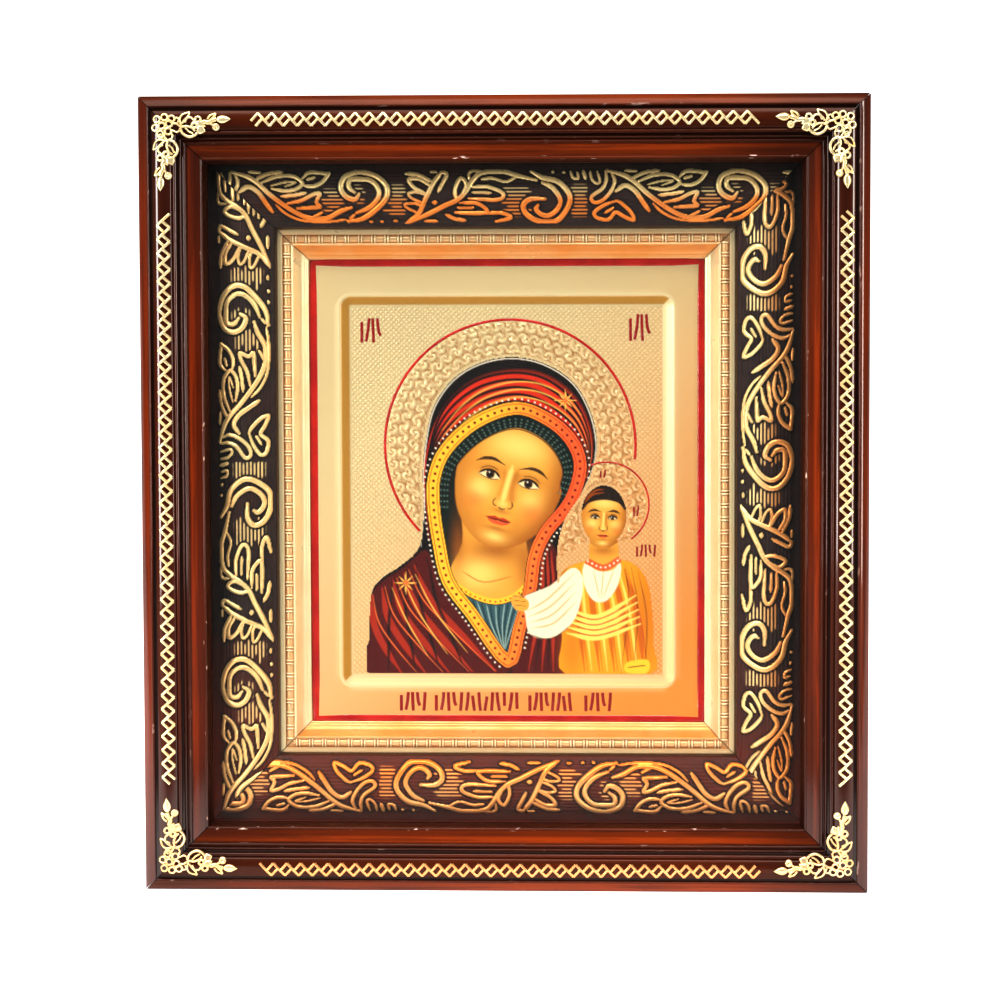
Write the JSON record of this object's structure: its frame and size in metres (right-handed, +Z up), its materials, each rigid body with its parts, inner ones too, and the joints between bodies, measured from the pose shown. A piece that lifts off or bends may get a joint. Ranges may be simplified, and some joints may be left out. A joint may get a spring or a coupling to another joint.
{
  "type": "icon panel",
  "caption": "Upright glazed wooden case with embossed liner, beaded gilt slip and a haloed icon on a sunk board.",
  "frame": {"origin": "middle of the case's box in plan, at the plane it stands on", "axes": "+Z up, the icon faces -Y, +X to the right as seen from the front"},
  "size_m": [0.3, 0.05, 0.329],
  "materials": {
    "lacquered_wood": "dark red-brown stain under high-gloss lacquer",
    "clear_glass": "clear, polished",
    "fibre_board": "raw brown hardboard",
    "embossed_liner": "dark brown with gold rubbed on the raised ornament",
    "gilt_slip": "satin gold leaf on wood",
    "icon_foil": "satin gold with a painted picture, on a board",
    "gilt_metal": "polished pale gold plating"
  },
  "bodies": {
    "root": {"case_rail_top": "lacquered_wood", "case_rail_right": "lacquered_wood", "case_rail_bottom": "lacquered_wood", "case_rail_left": "lacquered_wood", "glass_pane": "clear_glass", "back_board": "fibre_board", "liner_rail_top": "embossed_liner", "liner_rail_right": "embossed_liner", "liner_rail_bottom": "embossed_liner", "liner_rail_left": "embossed_liner", "slip_rail_top": "gilt_slip", "slip_rail_right": "gilt_slip", "slip_rail_bottom": "gilt_slip", "slip_rail_left": "gilt_slip", "icon_board": "icon_foil", "lattice_strip_top": "gilt_metal", "lattice_strip_right": "gilt_metal", "lattice_strip_bottom": "gilt_metal", "lattice_strip_left": "gilt_metal", "corner_plate_top_left": "gilt_metal", "corner_plate_top_right": "gilt_metal", "corner_plate_bottom_left": "gilt_metal", "corner_plate_bottom_right": "gilt_metal"}
  },
  "joints": []
}
